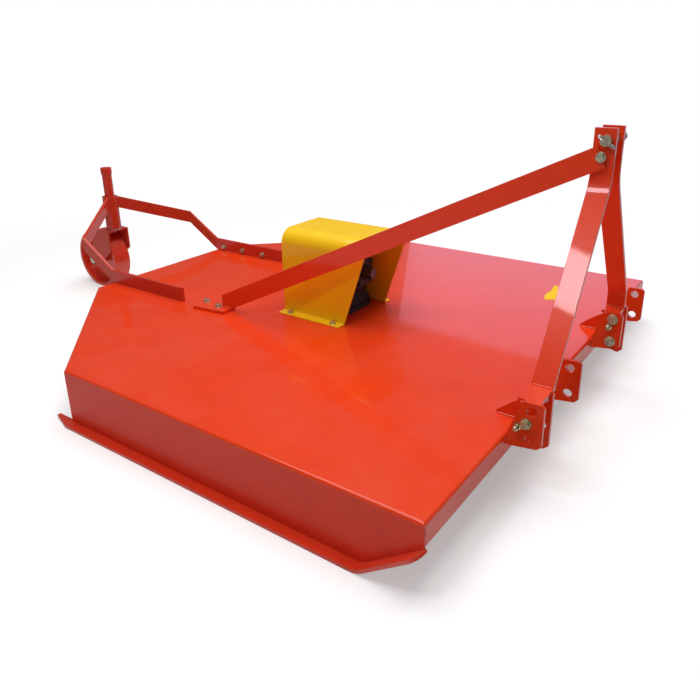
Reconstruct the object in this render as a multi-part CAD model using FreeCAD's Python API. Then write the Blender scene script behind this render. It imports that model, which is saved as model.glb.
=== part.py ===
"""Slasher mower: a rotary cutter carried on a tractor's three-point linkage.

Row frame: +X points forward to the tractor, +Y to the left, +Z up, in millimetres.
The origin is on the ground, at the middle of the machine's overall length and width.
"""
import FreeCAD, Part
import math
import os

V = FreeCAD.Vector

# ---- driving dimensions -------------------------------------------------------------------
DECK_WIDTH = 1600.0
DECK_SIDE = 1095.0          # straight side, from the front edge back to the chamfer
DECK_LENGTH = 1608.0        # front edge to rear edge
REAR_EDGE_HALF = 335.0
DECK_TOP = 160.0
SHEET = 4.0
LIP_DEPTH = 51.0
FOLD_RADIUS = 8.0
WALL_THICK = 5.0
NOSE_HEIGHT = 99.0          # underside of the skid at the front edge
NOSE_RUN = 135.0            # length of the ramp from the nose to the ground

SKID_THICK = 8.0
SKID_OUT = 27.0             # how far the skid stands out from its wall
SKID_BEND = 60.0            # bend radius at the strip's middle line
SKID_TAIL = 64.0            # how far the skid runs on behind its wall
SKID_TAIL_CUT = 72.0        # length of the cut across its outer rear corner

ROTOR_BACK = 775.0          # rotor axis, behind the front edge
CUT_RADIUS = 735.0
PAN_RADIUS = 385.0
BLADE_PIVOT_RADIUS = 335.0

BAR_THICK = 10.0            # flat bar used on edge for the brace and the tail arms

LUG_OUTER_Y = 432.0
LUG_INNER_Y = 184.0
LUG_THICK = 10.0
LUG_REACH = 77.0            # how far the lugs stand ahead of the deck
LUG_TOP = 248.0
HITCH_HOLE_R = 11.2
HITCH_HOLE_LOW = 161.0
HITCH_HOLE_HIGH = 228.0

MAST_Y = -41.0              # the mast stands right of the middle, on its offset lugs
MAST_TOP = 775.0
MAST_BEND = 652.0
MAST_RADIUS = 120.0         # of the bend at the middle of the bar
MAST_GAP = 52.0             # between its two plates, for the ball of the top link
LEG_WIDTH = 50.0
LEG_THICK = 10.0
LEG_REACH = 15.0            # rear edge of the legs, ahead of the deck
RIGHT_FOOT_Y = -346.0
LEFT_FOOT_Y = 240.0
LEFT_FOOT_BEND = 294.0
FOOT_TOP = 248.0            # upper face of the brackets that the legs stand on
FLANGE_THICK = 8.0
RIGHT_CHEEK_Y = -360.0
LEFT_CHEEK_Y = 256.0
TOP_PIN_Z = 748.0
TOP_PIN_R = 12.7

BRACE_DEPTH = 53.0
BRACE_TOP = (50.0, -82.0, 688.0)        # lower corner at the mast; the first value is ahead of the deck
BRACE_FOOT = (-1045.0, -234.0, DECK_TOP)

SHIELD_Y = -20.0
SHIELD_HALF = 115.0
SHIELD_TOP = 429.0
SHIELD_REAR = 890.0         # behind the front edge, as the next two
SHIELD_FRONT_LOW = 653.0
SHIELD_FRONT_HIGH = 562.0

ARM_Y = 262.0
ARM_DEPTH = 47.0
ARM_FRONT_BACK = 1232.0
ARM_BEND_BACK = 1765.0
ARM_BEND_Z = 257.0
SPINDLE_BACK = 1947.0       # caster axis, behind the front edge
SPINDLE_R = 19.0
SPINDLE_TOP = 516.0
SOCKET_R = 30.0
SOCKET_TOP = 398.0
FORK_TOP = 258.0
WHEEL_BACK = 2043.0
WHEEL_R = 122.0
WHEEL_WIDTH = 76.0
AXLE_R = 10.0

SHAFT_R = 17.5
OUTPUT_R = 22.0
RUN_CLEAR = 0.05            # radial clearance of a shaft in its bore

FRONT = (WHEEL_BACK + WHEEL_R - LUG_REACH) / 2.0    # deck's front edge, ahead of the origin
LUG_HOLE_X = FRONT + 50.0
LEG_X = FRONT + LEG_REACH
TOP_PIN_X = FRONT + 45.0
ROTOR_X = FRONT - ROTOR_BACK
SPINDLE_X = FRONT - SPINDLE_BACK
WHEEL_X = FRONT - WHEEL_BACK
INPUT_Z = 292.0

os.makedirs("parts", exist_ok=True)


# ---- helpers ------------------------------------------------------------------------------
def save(shape, node):
    shape.exportStep("parts/%s.step" % node)


def mirror_y(shape):
    return shape.mirror(V(0, 0, 0), V(0, 1, 0))


def save_pair(shape, name):
    """A piece made on the right-hand side (-Y), and its mirror image on the left."""
    save(shape, name + "_right")
    save(mirror_y(shape), name + "_left")


def polygon(points):
    return Part.makePolygon(list(points) + [points[0]])


def prism_z(outline, z0, z1):
    face = Part.Face(polygon([V(x, y, z0) for x, y in outline]))
    return face.extrude(V(0, 0, z1 - z0))


def prism_y(outline, y0, y1):
    face = Part.Face(polygon([V(x, y0, z) for x, z in outline]))
    return face.extrude(V(0, y1 - y0, 0))


def prism_x(outline, x0, x1):
    face = Part.Face(polygon([V(x0, y, z) for y, z in outline]))
    return face.extrude(V(x1 - x0, 0, 0))


def hexagon(a, b, across_flats):
    """The six corners, as (a, b) pairs, of a nut or bolt head around a point."""
    radius = across_flats / math.sqrt(3.0)
    turns = [math.radians(60 * i) for i in range(6)]
    return [(a + radius * math.cos(t), b + radius * math.sin(t)) for t in turns]


def cut_square(a, b, half, corner):
    """A square around a point, its four corners cut off: a flange's outline."""
    far = half - corner
    ring = [(half, -far), (half, far), (far, half), (-far, half), (-half, far), (-half, -far), (-far, -half),
            (far, -half)]
    return [(a + u, b + v) for u, v in ring]


def cylinder(radius, base, direction, length):
    return Part.makeCylinder(radius, length, base, direction)


def fuse(shapes):
    return shapes[0].fuse(list(shapes[1:])).removeSplitter()


def revolve_z(profile, x):
    """Solid turned about the vertical through x, from (radius, z) points."""
    face = Part.Face(polygon([V(x + r, 0, z) for r, z in profile]))
    return face.revolve(V(x, 0, 0), V(0, 0, 1), 360)


def bent_strip(points, radii, thickness):
    """Face of a strip of one thickness along a polyline of (a, b) points, its bends rounded.

    The polyline is the strip's middle line. Returns a planar face in the XY plane.
    """
    edges = []
    start = V(points[0][0], points[0][1], 0)
    for i in range(1, len(points) - 1):
        corner = V(points[i][0], points[i][1], 0)
        before = (V(points[i - 1][0], points[i - 1][1], 0) - corner).normalize()
        after = (V(points[i + 1][0], points[i + 1][1], 0) - corner).normalize()
        half = before.getAngle(after) / 2.0
        radius = radii[i - 1]
        setback = radius / math.tan(half)
        first = corner + before * setback
        last = corner + after * setback
        middle_dir = (before + after).normalize()
        centre = corner + middle_dir * (radius / math.sin(half))
        middle = centre - middle_dir * radius
        edges.append(Part.LineSegment(start, first).toShape())
        edges.append(Part.Arc(first, middle, last).toShape())
        start = last
    edges.append(Part.LineSegment(start, V(points[-1][0], points[-1][1], 0)).toShape())
    return strip_face(Part.Wire(edges), thickness)


def strip_face(path, thickness):
    """Closed face between the two offsets of an open planar wire, half a thickness each side."""
    sides = []
    for sign in (-1, 1):
        sides.append(path.makeOffset2D(sign * thickness / 2.0, 2, False, True))
    ends = []
    for pick in (0, -1):
        a = sides[0].OrderedVertexes[pick].Point
        b = sides[1].OrderedVertexes[pick].Point
        ends.append(Part.LineSegment(a, b).toShape())
    edges = sides[0].Edges + sides[1].Edges + ends
    return Part.Face(Part.Wire(Part.__sortEdges__(edges)))


def stand_strip(face, length):
    """Strip drawn as (y, z) points in the XY plane, stood upright and drawn out along +X."""
    strip = face.extrude(V(0, 0, length))
    strip.rotate(V(0, 0, 0), V(1, 1, 1), 120)
    return strip


def bar_on_edge(stations, thickness, depth):
    """Flat bar on edge through (x, y, z) stations of its bottom line, mitred at each bend."""
    wires = []
    for i, (x, y, z) in enumerate(stations):
        here = V(x, y, 0)
        ahead = V(*stations[min(i + 1, len(stations) - 1)][:2], 0) - here
        behind = here - V(*stations[max(i - 1, 0)][:2], 0)
        if ahead.Length == 0:
            ahead = behind
        if behind.Length == 0:
            behind = ahead
        ahead.normalize()
        behind.normalize()
        mean = (ahead + behind).normalize()
        side = V(-mean.y, mean.x, 0) * (thickness / 2.0 / mean.dot(ahead))
        foot = V(x, y, z)
        up = V(0, 0, depth)
        wires.append(polygon([foot - side, foot + side, foot + side + up, foot - side + up]))
    return Part.makeLoft(wires, True, True)


# ---- deck ---------------------------------------------------------------------------------
def deck_outline(inset):
    """Plan of the deck: a rectangle with its two rear corners cut off, moved in by an inset."""
    half = DECK_WIDTH / 2.0
    side_x = FRONT - DECK_SIDE
    rear_x = FRONT - DECK_LENGTH
    cut = math.atan2(half - REAR_EDGE_HALF, side_x - rear_x)
    at_side = inset * math.tan(cut / 2.0)
    at_rear = inset * math.tan((math.pi / 2.0 - cut) / 2.0)
    right = [(FRONT - inset, -half + inset), (side_x + at_side, -half + inset),
             (rear_x + inset, -REAR_EDGE_HALF + at_rear)]
    left = [(x, -y) for x, y in reversed(right)]
    return right + left


def folded_block(inset, top, radius):
    """Solid of the deck's outline whose top edges are rounded like a sheet-metal fold."""
    block = prism_z(deck_outline(inset), DECK_TOP - LIP_DEPTH, top)
    rim = [e for e in block.Edges if all(abs(v.Z - top) < 1e-6 for v in e.Vertexes)]
    return block.makeFillet(radius, rim)


def deck():
    """One folded sheet: flat top, lips on the front, rear and chamfers, rounded folds."""
    outer = folded_block(0.0, DECK_TOP, FOLD_RADIUS)
    inner = folded_block(SHEET, DECK_TOP - SHEET, FOLD_RADIUS - SHEET)
    sheet = outer.cut(inner)
    half = DECK_WIDTH / 2.0
    side_lip = Part.makeBox(DECK_SIDE, WALL_THICK, LIP_DEPTH - FOLD_RADIUS,
                            V(FRONT - DECK_SIDE, -half, DECK_TOP - LIP_DEPTH))
    sheet = sheet.cut([side_lip, mirror_y(side_lip)])
    output = cylinder(70.0, V(ROTOR_X, 0, DECK_TOP - 2 * SHEET), V(0, 0, 1), 4 * SHEET)
    return sheet.cut(output)


def side_wall():
    """Plate from the fold down to the skid, its front corner cut to a sloping nose."""
    outline = [(FRONT, DECK_TOP - FOLD_RADIUS), (FRONT, NOSE_HEIGHT + SKID_THICK),
               (FRONT - NOSE_RUN, SKID_THICK), (FRONT - DECK_SIDE, SKID_THICK),
               (FRONT - DECK_SIDE, DECK_TOP - FOLD_RADIUS)]
    wall = prism_y(outline, -DECK_WIDTH / 2.0, -DECK_WIDTH / 2.0 + WALL_THICK)
    bend = [e for e in wall.Edges if all(abs(v.X - FRONT + NOSE_RUN) < 1e-6 for v in e.Vertexes)]
    return wall.makeFillet(SKID_BEND - SKID_THICK / 2.0, bend)


def skid():
    """Flat strip under the wall, bent up along the nose; outer corners rounded in front, cut behind."""
    rear_x = FRONT - DECK_SIDE - SKID_TAIL
    half = SKID_THICK / 2.0
    rise = math.atan2(NOSE_HEIGHT, NOSE_RUN)
    middle = [(rear_x, half), (FRONT - NOSE_RUN + half * math.tan(rise / 2.0), half),
              (FRONT + half * math.sin(rise), NOSE_HEIGHT + SKID_THICK - half * math.cos(rise))]
    face = bent_strip(middle, [SKID_BEND], SKID_THICK)
    inner_y = -DECK_WIDTH / 2.0 + WALL_THICK
    outer_y = -DECK_WIDTH / 2.0 - SKID_OUT
    strip = face.extrude(V(0, 0, inner_y - outer_y))
    strip.rotate(V(0, 0, 0), V(1, 0, 0), 90)
    strip.translate(V(0, inner_y, 0))
    corner = [e for e in strip.Edges if all(v.Y < outer_y + 1 and v.X > FRONT - 1 for v in e.Vertexes)]
    strip = strip.makeFillet(SKID_OUT, corner)
    cut = prism_z([(rear_x - 1, outer_y - 1), (rear_x + SKID_TAIL_CUT, outer_y - 1), (rear_x - 1, inner_y - 10)],
                  -1, SKID_THICK + 1)
    return strip.cut(cut)


def deck_rail():
    """Angle iron under the deck, from the front lip to the rear lip, under a hitch lug."""
    leg_width = 40.0
    gauge = 5.0
    y = -LUG_INNER_Y - 18.0
    top = DECK_TOP - SHEET
    section = [(y, top), (y + leg_width, top), (y + leg_width, top - gauge), (y + gauge, top - gauge),
               (y + gauge, top - 35), (y, top - 35)]
    return prism_x(section, FRONT - DECK_LENGTH + FOLD_RADIUS, FRONT - FOLD_RADIUS)


def gearbox_plate():
    """Thick plate under the deck that carries the gearbox, between the two rails."""
    top = DECK_TOP - SHEET
    half = LUG_INNER_Y - 24.0
    plate = Part.makeBox(300, 2 * half, 8, V(ROTOR_X - 150, -half, top - 8))
    return plate.cut(cylinder(70.0, V(ROTOR_X, 0, top - 10), V(0, 0, 1), 12))


# ---- hitch --------------------------------------------------------------------------------
def drill_hitch(plate, y):
    """Cut the two lower-link holes through an upright plate."""
    holes = []
    for z in (HITCH_HOLE_LOW, HITCH_HOLE_HIGH):
        holes.append(cylinder(HITCH_HOLE_R, V(LUG_HOLE_X, y - LUG_THICK, z), V(0, 1, 0), 2 * LUG_THICK))
    return plate.cut(holes)


def hitch_lug(y):
    """Plate welded to the deck's front edge, with two pin holes in its upright nose."""
    nose = FRONT + LUG_REACH
    outline = [(FRONT, 132), (nose - 9, 141), (nose, 150), (nose, LUG_TOP - 8), (nose - 8, LUG_TOP),
               (FRONT + 32, LUG_TOP), (FRONT + 12, 200), (FRONT, DECK_TOP)]
    return drill_hitch(prism_y(outline, y - LUG_THICK / 2.0, y + LUG_THICK / 2.0), y)


def hitch_bridge(lug_y, cheek_y, end_y):
    """Foot bracket of a leg: level flange from the lug to the cheek, whose tail rests on the deck."""
    start = lug_y + LUG_THICK / 2.0
    flange = Part.makeBox(LEG_WIDTH, end_y - start, FLANGE_THICK, V(LEG_X, start, FOOT_TOP - FLANGE_THICK))
    nose = FRONT + 70
    outline = [(FRONT, 118), (nose - 12, 102), (nose, 112), (nose, FOOT_TOP - 6), (nose - 6, FOOT_TOP),
               (LEG_X, FOOT_TOP), (FRONT + 9, 216), (FRONT - 23, 195), (FRONT - 55, 168),
               (FRONT - 57, DECK_TOP), (FRONT, DECK_TOP)]
    cheek = drill_hitch(prism_y(outline, cheek_y - LUG_THICK / 2.0, cheek_y + LUG_THICK / 2.0), cheek_y)
    return fuse([flange, cheek])


def leg(path, radii):
    """A-frame leg: flat bar along (y, z) points, bent upright at the mast, standing on its bracket."""
    bar = stand_strip(bent_strip(path, radii, LEG_THICK), LEG_WIDTH)
    bar.translate(V(LEG_X, 0, 0))
    below = Part.makeBox(2 * LEG_WIDTH, 1000, 200, V(LEG_X - 10, -500, FOOT_TOP - 200))
    return bar.cut([below, cylinder(TOP_PIN_R, V(TOP_PIN_X, -500, TOP_PIN_Z), V(0, 1, 0), 1000)])


def leg_right():
    mast_y = MAST_Y - (MAST_GAP + LEG_THICK) / 2.0
    slope = (mast_y - RIGHT_FOOT_Y) / (MAST_BEND - FOOT_TOP)
    past = 20.0
    path = [(mast_y, MAST_TOP), (mast_y, MAST_BEND), (RIGHT_FOOT_Y - past * slope, FOOT_TOP - past)]
    return leg(path, [MAST_RADIUS])


def leg_left():
    mast_y = MAST_Y + (MAST_GAP + LEG_THICK) / 2.0
    path = [(mast_y, MAST_TOP), (mast_y, MAST_BEND), (LEFT_FOOT_Y, LEFT_FOOT_BEND), (LEFT_FOOT_Y, FOOT_TOP - 20)]
    return leg(path, [MAST_RADIUS, MAST_RADIUS / 2.0])


def top_link_pin():
    reach = MAST_GAP / 2.0 + LEG_THICK + 16
    pin = cylinder(TOP_PIN_R, V(TOP_PIN_X, MAST_Y - reach, TOP_PIN_Z), V(0, 1, 0), 2 * reach)
    head = prism_y(hexagon(TOP_PIN_X, TOP_PIN_Z, 36), MAST_Y + reach, MAST_Y + reach + 10)
    return fuse([pin, head])


def brace():
    """Flat bar on edge, cut square at the mast, its flat foot on the deck."""
    top_x, top_y, top_z = BRACE_TOP
    foot_x, foot_y, foot_z = BRACE_FOOT
    run = math.hypot(top_x - foot_x, top_y - foot_y)
    rise = math.atan2(top_z - foot_z, run)
    heel = 22.0
    outline = [(-heel, foot_z), (0, foot_z), (run, top_z),
               (run - BRACE_DEPTH * math.sin(rise), top_z + BRACE_DEPTH * math.cos(rise)),
               (-heel, foot_z + BRACE_DEPTH / math.cos(rise) - heel * math.tan(rise))]
    bar = prism_y(outline, -BAR_THICK / 2.0, BAR_THICK / 2.0)
    foot = Part.makeBox(125, 60, BAR_THICK, V(-112, -44, foot_z))
    bar = fuse([bar, foot])
    bar.rotate(V(0, 0, 0), V(0, 0, 1), math.degrees(math.atan2(top_y - foot_y, top_x - foot_x)))
    bar.translate(V(FRONT + foot_x, foot_y, 0))
    mast_face = MAST_Y - MAST_GAP / 2.0 - LEG_THICK
    beyond = Part.makeBox(LEG_WIDTH + 40, 40, 200, V(LEG_X - 20, mast_face, top_z - 60))
    return bar.cut(beyond)


# ---- gearbox ------------------------------------------------------------------------------
def gearbox_housing():
    """Cast housing: flange with cut corners, waisted box with sloping shoulders, round bearing seat."""
    base = DECK_TOP
    flange = prism_z(cut_square(ROTOR_X, 0, 86, 28), base, base + 16)
    half_side = [(78, 16), (64, 50), (76, 78), (76, 178), (60, 192)]
    outline = half_side + [(-u, z) for u, z in reversed(half_side)]
    along = prism_y([(ROTOR_X + u, base + z) for u, z in outline], -90, 90)
    across = prism_x([(u, base + z) for u, z in outline], ROTOR_X - 90, ROTOR_X + 90)
    seat = cylinder(54, V(ROTOR_X, 0, INPUT_Z), V(1, 0, 0), 96)
    neck = prism_z(cut_square(ROTOR_X, 0, 60, 28), DECK_TOP - SHEET - 8, base + 2)
    body = fuse([along.common(across), flange, seat, neck])
    input_bore = cylinder(SHAFT_R + RUN_CLEAR, V(ROTOR_X - 60, 0, INPUT_Z), V(1, 0, 0), 170)
    output_bore = cylinder(OUTPUT_R + RUN_CLEAR, V(ROTOR_X, 0, DECK_TOP - 20), V(0, 0, 1), 80)
    return body.cut([input_bore, output_bore])


def bearing_cap(x0, x1, bored):
    cap = prism_x(cut_square(0, INPUT_Z, 43, 16), x0, x1)
    if bored:
        cap = cap.cut(cylinder(SHAFT_R + RUN_CLEAR, V(x0 - 1, 0, INPUT_Z), V(1, 0, 0), x1 - x0 + 2))
    return cap


def input_shaft():
    """Plain journal with a six-spline end."""
    shaft = cylinder(SHAFT_R, V(ROTOR_X - 55, 0, INPUT_Z), V(1, 0, 0), 195)
    grooves = []
    for i in range(6):
        groove = Part.makeBox(40, 8, 6, V(ROTOR_X + 112, -4, INPUT_Z + 14.8))
        groove.rotate(V(0, 0, INPUT_Z), V(1, 0, 0), 60 * i)
        grooves.append(groove)
    return shaft.cut(grooves)


def shield():
    """Inverted U of bent sheet over the gearbox, its feet turned out and its front cut aslant."""
    gauge = 3.0
    foot = DECK_TOP + gauge / 2.0
    top = SHIELD_TOP - gauge / 2.0
    path = [(-SHIELD_HALF - 32, foot), (-SHIELD_HALF, foot), (-SHIELD_HALF, top), (SHIELD_HALF, top),
            (SHIELD_HALF, foot), (SHIELD_HALF + 32, foot)]
    length = SHIELD_REAR - SHIELD_FRONT_HIGH
    cover = stand_strip(bent_strip(path, [5.0, 45.0, 45.0, 5.0], gauge), length)
    cover.translate(V(FRONT - SHIELD_REAR, SHIELD_Y, 0))
    low = (FRONT - SHIELD_FRONT_LOW, DECK_TOP)
    high = (FRONT - SHIELD_FRONT_HIGH, SHIELD_TOP)
    ahead = prism_y([low, (high[0] + 10, DECK_TOP), (high[0] + 10, SHIELD_TOP), high], -300, 300)
    return cover.cut(ahead)


# ---- rotor --------------------------------------------------------------------------------
def rotor_hub():
    shaft = cylinder(OUTPUT_R, V(ROTOR_X, 0, 70), V(0, 0, 1), 146)
    boss = prism_z(cut_square(ROTOR_X, 0, 50, 22), 70, 140)
    return fuse([shaft, boss])


def blade_pan():
    """Dished steel pan: a flat rim for the blades around a shallow bowl that rides over stumps."""
    profile = [(0, 64), (150, 64), (215, 96), (PAN_RADIUS, 96)]
    upper = [(r, z + 6) for r, z in reversed(profile)]
    pan = revolve_z(profile + upper, ROTOR_X)
    holes = [cylinder(12, V(ROTOR_X + s * BLADE_PIVOT_RADIUS, 0, 90), V(0, 0, 1), 20) for s in (-1, 1)]
    return pan.cut(holes)


def pivot_bolt(sign):
    x = ROTOR_X + sign * BLADE_PIVOT_RADIUS
    shank = cylinder(12, V(x, 0, 70), V(0, 0, 1), 40)
    head = prism_z(hexagon(x, 0, 38), 64, 76)
    nut = prism_z(hexagon(x, 0, 36), 102, 116)
    return fuse([shank, head, nut])


def blade(sign):
    """Swinging blade: flat bar with a cutting bevel on its leading edge."""
    length = CUT_RADIUS - BLADE_PIVOT_RADIUS
    outline = [(-38, -38), (length, -38), (length, 30), (60, 38), (-38, 38)]
    bar = prism_z(outline, 78, 90)
    bar = bar.cut(cylinder(12 + RUN_CLEAR, V(0, 0, 70), V(0, 0, 1), 30))
    bevel = prism_x([(-39, 77), (-26, 77), (-39, 86)], 90, length + 1)
    bar = bar.cut(bevel)
    if sign < 0:
        bar.rotate(V(0, 0, 0), V(0, 0, 1), 180)
    bar.translate(V(ROTOR_X + sign * BLADE_PIVOT_RADIUS, 0, 0))
    return bar


# ---- tail wheel ---------------------------------------------------------------------------
def tail_arm():
    """Flat bar along the deck, cranked up behind it and bent in to the caster's socket."""
    rear = FRONT - DECK_LENGTH
    bend = (FRONT - ARM_BEND_BACK, -ARM_Y, ARM_BEND_Z)
    stations = [(FRONT - ARM_FRONT_BACK, -ARM_Y, DECK_TOP), (rear, -ARM_Y, DECK_TOP), bend, (SPINDLE_X, 0, 358)]
    arm = bar_on_edge(stations, BAR_THICK, ARM_DEPTH)
    return arm.cut(cylinder(SOCKET_R, V(SPINDLE_X, 0, 300), V(0, 0, 1), 200))


def spindle_socket():
    low = FORK_TOP + 6
    tube = cylinder(SOCKET_R, V(SPINDLE_X, 0, low), V(0, 0, 1), SOCKET_TOP - low)
    return tube.cut(cylinder(SPINDLE_R + RUN_CLEAR, V(SPINDLE_X, 0, low - 1), V(0, 0, 1), 200))


def spindle():
    return cylinder(SPINDLE_R, V(SPINDLE_X, 0, FORK_TOP), V(0, 0, 1), SPINDLE_TOP - FORK_TOP)


def fork():
    """U-shaped yoke of plate: top across the wheel, two cheeks reaching back to the axle."""
    gauge = 6.0
    inner = WHEEL_WIDTH / 2.0 + 6.0
    front = SPINDLE_X + 24
    cheek = [(front, FORK_TOP), (SPINDLE_X - 52, FORK_TOP), (WHEEL_X - 30, WHEEL_R + 14),
             (WHEEL_X - 24, WHEEL_R - 26), (WHEEL_X + 24, WHEEL_R - 26), (front, FORK_TOP - 86)]
    plate = prism_y(cheek, -inner - gauge, -inner)
    top = Part.makeBox(76, 2 * inner, gauge, V(SPINDLE_X - 52, -inner, FORK_TOP - gauge))
    yoke = fuse([plate, mirror_y(plate), top])
    return yoke.cut(cylinder(AXLE_R, V(WHEEL_X, -100, WHEEL_R), V(0, 1, 0), 200))


def tail_axle():
    face = WHEEL_WIDTH / 2.0 + 12.0
    bolt = cylinder(AXLE_R, V(WHEEL_X, -face, WHEEL_R), V(0, 1, 0), 2 * face + 18)
    flats = hexagon(WHEEL_X, WHEEL_R, 30)
    return fuse([bolt, prism_y(flats, -face - 12, -face), prism_y(flats, face, face + 12)])


def tail_wheel():
    """Steel wheel: wide rolled rim, one disc and a long hub that runs on the axle."""
    half = WHEEL_WIDTH / 2.0
    bore = AXLE_R + RUN_CLEAR
    upper = [(bore, half + 4), (24, half + 4), (24, 6), (WHEEL_R - 12, 6), (WHEEL_R - 12, half), (WHEEL_R, half)]
    section = upper + [(r, -y) for r, y in reversed(upper)]
    face = Part.Face(polygon([V(0, y, r) for r, y in section]))
    wheel = face.revolve(V(0, 0, 0), V(0, 1, 0), 360)
    wheel.translate(V(WHEEL_X, 0, WHEEL_R))
    return wheel


# ---- build --------------------------------------------------------------------------------
save(deck(), "deck")
save_pair(side_wall(), "side_wall")
save_pair(skid(), "skid")
save_pair(deck_rail(), "deck_rail")
save(gearbox_plate(), "gearbox_plate")
save(hitch_lug(-LUG_OUTER_Y), "outer_lug_right")
save(hitch_lug(-LUG_INNER_Y), "inner_lug_right")
save(hitch_lug(LUG_INNER_Y), "inner_lug_left")
save(hitch_lug(LUG_OUTER_Y), "outer_lug_left")
save(hitch_bridge(-LUG_OUTER_Y, RIGHT_CHEEK_Y, RIGHT_FOOT_Y + LEG_THICK), "hitch_bridge_right")
save(hitch_bridge(LUG_INNER_Y, LEFT_CHEEK_Y, LEFT_CHEEK_Y + LUG_THICK / 2.0), "hitch_bridge_left")
save(leg_right(), "leg_right")
save(leg_left(), "leg_left")
save(top_link_pin(), "top_link_pin")
save(brace(), "brace")
save(gearbox_housing(), "gearbox_housing")
save(bearing_cap(ROTOR_X + 96, ROTOR_X + 108, True), "front_bearing_cap")
save(bearing_cap(ROTOR_X - 86, ROTOR_X - 76, False), "rear_bearing_cap")
save(shield(), "gearbox_shield")
save(input_shaft(), "input_shaft")
save(rotor_hub(), "rotor_hub")
save(blade_pan(), "blade_pan")
for label, sign in (("a", 1), ("b", -1)):
    save(pivot_bolt(sign), "pivot_bolt_" + label)
    save(blade(sign), "blade_" + label)
save_pair(tail_arm(), "tail_arm")
save(spindle_socket(), "spindle_socket")
save(spindle(), "caster_spindle")
save(fork(), "caster_fork")
save(tail_axle(), "tail_axle")
save(tail_wheel(), "tail_wheel")
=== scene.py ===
import bpy
import math
import numpy as np
from mathutils import Matrix, Vector


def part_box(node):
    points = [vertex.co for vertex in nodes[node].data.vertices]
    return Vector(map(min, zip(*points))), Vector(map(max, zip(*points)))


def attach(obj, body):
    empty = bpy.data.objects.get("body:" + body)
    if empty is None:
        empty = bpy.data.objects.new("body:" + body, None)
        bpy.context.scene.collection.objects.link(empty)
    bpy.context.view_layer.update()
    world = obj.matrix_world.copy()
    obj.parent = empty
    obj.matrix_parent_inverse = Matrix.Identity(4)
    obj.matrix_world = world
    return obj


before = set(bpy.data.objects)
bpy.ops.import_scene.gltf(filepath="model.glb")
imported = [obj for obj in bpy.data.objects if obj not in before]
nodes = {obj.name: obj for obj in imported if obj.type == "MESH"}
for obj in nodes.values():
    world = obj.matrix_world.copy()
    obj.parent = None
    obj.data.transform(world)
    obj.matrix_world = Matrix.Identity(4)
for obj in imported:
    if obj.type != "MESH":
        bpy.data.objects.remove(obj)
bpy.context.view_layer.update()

# ---- Viewpoint ----------------------------------------------------------------------------
# The machine is seen from ahead of its right front corner and a little above its mast, with a
# short lens tipped down twenty degrees and held almost level.
deck_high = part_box("deck")[1]
front_x = deck_high.x
deck_top = deck_high.z
LENS_YAW = math.radians(35.60)
LENS_PITCH = math.radians(20.41)
LENS_ROLL = math.radians(-0.89)
lens = bpy.data.cameras.new("studio_camera")
lens.sensor_width = 36.0
lens.lens = 34.08
lens.shift_y = -0.0714
camera = bpy.data.objects.new("studio_camera", lens)
turn = Matrix.Rotation(LENS_YAW, 4, "Z") @ Matrix.Rotation(math.pi / 2 - LENS_PITCH, 4, "X")
lens_place = Matrix.Translation((front_x + 0.4531, -1.6481, 0.9390))
camera.matrix_world = lens_place @ turn @ Matrix.Rotation(LENS_ROLL, 4, "Z")
bpy.context.scene.collection.objects.link(camera)
bpy.context.scene.camera = camera
bpy.context.scene.view_settings.view_transform = "Standard"

# ---- Studio -------------------------------------------------------------------------------
# A wide white floor that fades into a white surround, a broad lamp overhead, a smaller key
# lamp above the right-hand side and a cool upright panel beyond the left-hand side.


def add(tree, kind, sockets, **settings):
    """One shader node: its settings, then each input socket given a value or another node's output."""
    made = tree.nodes.new(kind)
    for key, value in settings.items():
        setattr(made, key, value)
    for key, value in sockets.items():
        if isinstance(value, bpy.types.NodeSocket):
            tree.links.new(value, made.inputs[key])
        else:
            made.inputs[key].default_value = value
    return made


def empty_tree(owner):
    """The node tree of a new material or world, with nothing in it."""
    owner.use_nodes = True
    owner.node_tree.nodes.clear()
    return owner.node_tree


FLOOR_HALF = 30.0
FADE_STARTS = 1.0            # distances from the middle of the machine
FADE_ENDS = 2.5
floor_mesh = bpy.data.meshes.new("studio_floor")
floor_mesh.from_pydata([(-FLOOR_HALF, -FLOOR_HALF, 0.0), (FLOOR_HALF, -FLOOR_HALF, 0.0),
                        (FLOOR_HALF, FLOOR_HALF, 0.0), (-FLOOR_HALF, FLOOR_HALF, 0.0)], [], [(0, 1, 2, 3)])
floor = bpy.data.objects.new("studio_floor", floor_mesh)
bpy.context.scene.collection.objects.link(floor)
floor_paint = bpy.data.materials.new("studio_floor")
tree = empty_tree(floor_paint)
here = add(tree, "ShaderNodeTexCoord", {})
reach = add(tree, "ShaderNodeVectorMath", {0: here.outputs["Object"]}, operation="LENGTH")
fade = add(tree, "ShaderNodeMapRange", {"Value": reach.outputs["Value"], "From Min": FADE_STARTS,
                                            "From Max": FADE_ENDS},
           interpolation_type="SMOOTHSTEP")
matt = add(tree, "ShaderNodeBsdfDiffuse", {"Color": (0.82, 0.82, 0.82, 1.0)})
lift = add(tree, "ShaderNodeEmission", {"Color": (1.0, 1.0, 1.0, 1.0), "Strength": 0.36})
lit = add(tree, "ShaderNodeAddShader", {0: matt.outputs[0], 1: lift.outputs[0]})
white = add(tree, "ShaderNodeEmission", {"Color": (1.0, 1.0, 1.0, 1.0), "Strength": 1.0})
seen = add(tree, "ShaderNodeMixShader", {0: fade.outputs[0], 1: lit.outputs[0], 2: white.outputs[0]})
rays = add(tree, "ShaderNodeLightPath", {})
ends = add(tree, "ShaderNodeMixShader",
           {0: rays.outputs["Is Camera Ray"], 1: matt.outputs[0], 2: seen.outputs[0]})
add(tree, "ShaderNodeOutputMaterial", {"Surface": ends.outputs[0]})
floor_mesh.materials.append(floor_paint)

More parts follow.
